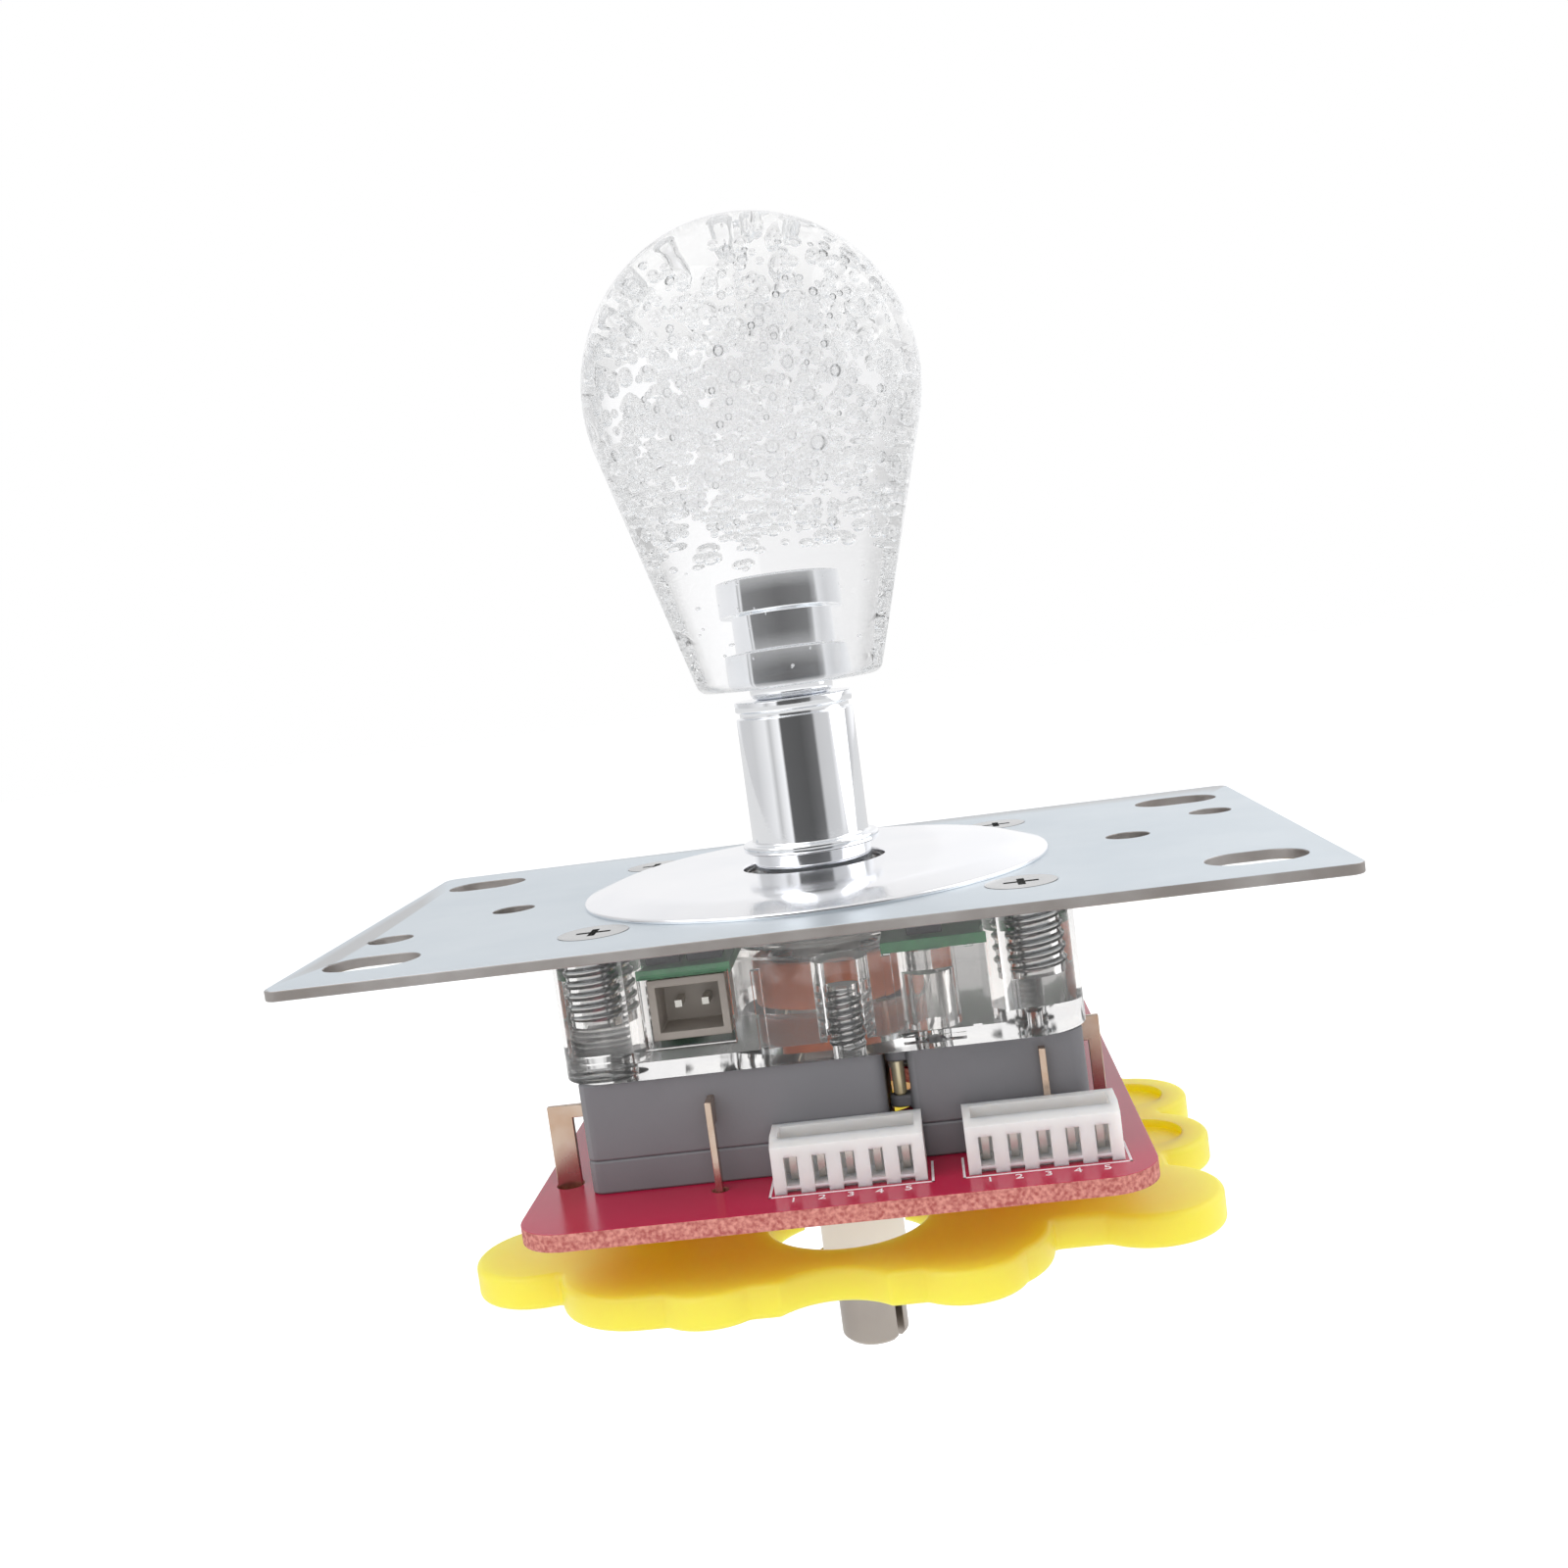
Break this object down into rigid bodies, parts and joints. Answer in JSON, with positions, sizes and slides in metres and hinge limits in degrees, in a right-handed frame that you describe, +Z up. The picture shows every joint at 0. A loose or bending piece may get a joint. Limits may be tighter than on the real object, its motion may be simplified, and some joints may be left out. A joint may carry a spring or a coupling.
{
  "type": "arcade joystick lever",
  "caption": "Arcade joystick lever: clear bubble knob on a chromed sleeve, slotted mounting plate, clear lamp housing, lever switches on a circuit board and a lobed restrictor gate.",
  "frame": {"origin": "centre of the mounting plate's top face, on the lever's axis", "axes": "+Z up the lever, X along the plate's long side, -Y towards the side with the connectors"},
  "size_m": [0.095, 0.0648, 0.1158],
  "materials": {
    "plate": "zinc-plated sheet steel",
    "screws": "zinc-plated, machined heads",
    "washer": "polished",
    "chrome": "polished chrome",
    "knob": "clear cast acrylic with air bubbles",
    "shaft": "plated steel",
    "pivot": "moulded nylon",
    "collar": "moulded orange plastic",
    "spring": "spring steel",
    "actuator": "moulded grey nylon",
    "housing": "clear moulded polycarbonate",
    "lamp_board": "green solder mask",
    "lamps": "lamp lens",
    "chips": "moulded black",
    "header": "moulded ivory",
    "pins": "tinned",
    "board": "red solder mask",
    "connector": "moulded milky white",
    "switch": "moulded grey, fine texture",
    "plunger": "moulded nylon",
    "switch_lever": "sheet brass",
    "terminals": "sheet copper alloy",
    "gate": "moulded yellow, soft edges"
  },
  "bodies": {
    "base": {"mounting_plate": "plate", "plate_screws": "screws", "dust_washer": "washer", "housing": "housing", "return_spring": "spring", "lamp_board": "lamp_board", "lamps": "lamps", "board_chips": "chips", "lamp_header": "header", "lamp_header_pins": "pins", "main_board": "board", "connector_left": "connector", "connector_left_pins": "pins", "connector_right": "connector", "connector_right_pins": "pins", "board_screws": "screws", "restrictor_gate": "gate", "gate_screws": "screws", "switch_front_case": "switch", "switch_front_cover": "switch", "switch_front_terminals": "terminals", "switch_right_case": "switch", "switch_right_cover": "switch", "switch_right_terminals": "terminals", "switch_back_case": "switch", "switch_back_cover": "switch", "switch_back_terminals": "terminals", "switch_left_case": "switch", "switch_left_cover": "switch", "switch_left_terminals": "terminals"},
    "pivot_ring": {"pivot_ring": "pivot"},
    "pivot_ball": {"pivot_ball": "pivot"},
    "lever": {"bubble_knob": "knob", "knob_insert": "chrome", "shaft_sleeve": "chrome", "shaft": "shaft", "spring_collar": "collar", "actuator": "actuator", "retaining_clip": "spring"},
    "switch_front_lever": {"switch_front_lever": "switch_lever"},
    "switch_front_plunger": {"switch_front_plunger": "plunger"},
    "switch_right_lever": {"switch_right_lever": "switch_lever"},
    "switch_right_plunger": {"switch_right_plunger": "plunger"},
    "switch_back_lever": {"switch_back_lever": "switch_lever"},
    "switch_back_plunger": {"switch_back_plunger": "plunger"},
    "switch_left_lever": {"switch_left_lever": "switch_lever"},
    "switch_left_plunger": {"switch_left_plunger": "plunger"}
  },
  "joints": [
    {"name": "tilt_x", "type": "hinge", "parent": "base", "child": "pivot_ring", "pos_m": [0, 0, -0.003], "axis": [1, 0, 0], "range_deg": [-7.5, 7.5], "stiffness_Nm_per_rad": 0.5, "deforming": ["return_spring"]},
    {"name": "tilt_y", "type": "hinge", "parent": "pivot_ring", "child": "pivot_ball", "pos_m": [0, 0, -0.003], "axis": [0, 1, 0], "range_deg": [-7.5, 7.5], "stiffness_Nm_per_rad": 0.5, "deforming": ["return_spring"]},
    {"name": "lever_spin", "type": "hinge", "parent": "pivot_ball", "child": "lever", "pos_m": [0, 0, -0.003], "axis": [0, 0, 1], "continuous": true},
    {"name": "front_lever_swing", "type": "hinge", "parent": "base", "child": "switch_front_lever", "pos_m": [-0.0199, -0.0065, -0.0165], "axis": [0, 0, 1], "range_deg": [-4.8, 4.8]},
    {"name": "front_plunger_travel", "type": "slide", "parent": "base", "child": "switch_front_plunger", "axis": [0, 1, 0], "range_m": [-0.00072, 0.00072]},
    {"name": "right_lever_swing", "type": "hinge", "parent": "base", "child": "switch_right_lever", "pos_m": [0.0065, -0.0199, -0.0165], "axis": [0, 0, 1], "range_deg": [-4.8, 4.8]},
    {"name": "right_plunger_travel", "type": "slide", "parent": "base", "child": "switch_right_plunger", "axis": [-1, 0, 0], "range_m": [-0.00072, 0.00072]},
    {"name": "back_lever_swing", "type": "hinge", "parent": "base", "child": "switch_back_lever", "pos_m": [0.0199, 0.0065, -0.0165], "axis": [0, 0, 1], "range_deg": [-4.8, 4.8]},
    {"name": "back_plunger_travel", "type": "slide", "parent": "base", "child": "switch_back_plunger", "axis": [0, -1, 0], "range_m": [-0.00072, 0.00072]},
    {"name": "left_lever_swing", "type": "hinge", "parent": "base", "child": "switch_left_lever", "pos_m": [-0.0065, 0.0199, -0.0165], "axis": [0, 0, 1], "range_deg": [-4.8, 4.8]},
    {"name": "left_plunger_travel", "type": "slide", "parent": "base", "child": "switch_left_plunger", "axis": [1, 0, 0], "range_m": [-0.00072, 0.00072]}
  ],
  "couplings": [
    {"joint": "front_lever_swing", "follows": "tilt_x", "ratio": 0.624},
    {"joint": "front_plunger_travel", "follows": "tilt_x", "m_per_rad": 0.005304},
    {"joint": "right_lever_swing", "follows": "tilt_y", "ratio": 0.624},
    {"joint": "right_plunger_travel", "follows": "tilt_y", "m_per_rad": 0.005304},
    {"joint": "back_lever_swing", "follows": "tilt_x", "ratio": -0.624},
    {"joint": "back_plunger_travel", "follows": "tilt_x", "m_per_rad": -0.005304},
    {"joint": "left_lever_swing", "follows": "tilt_y", "ratio": -0.624},
    {"joint": "left_plunger_travel", "follows": "tilt_y", "m_per_rad": -0.005304}
  ]
}
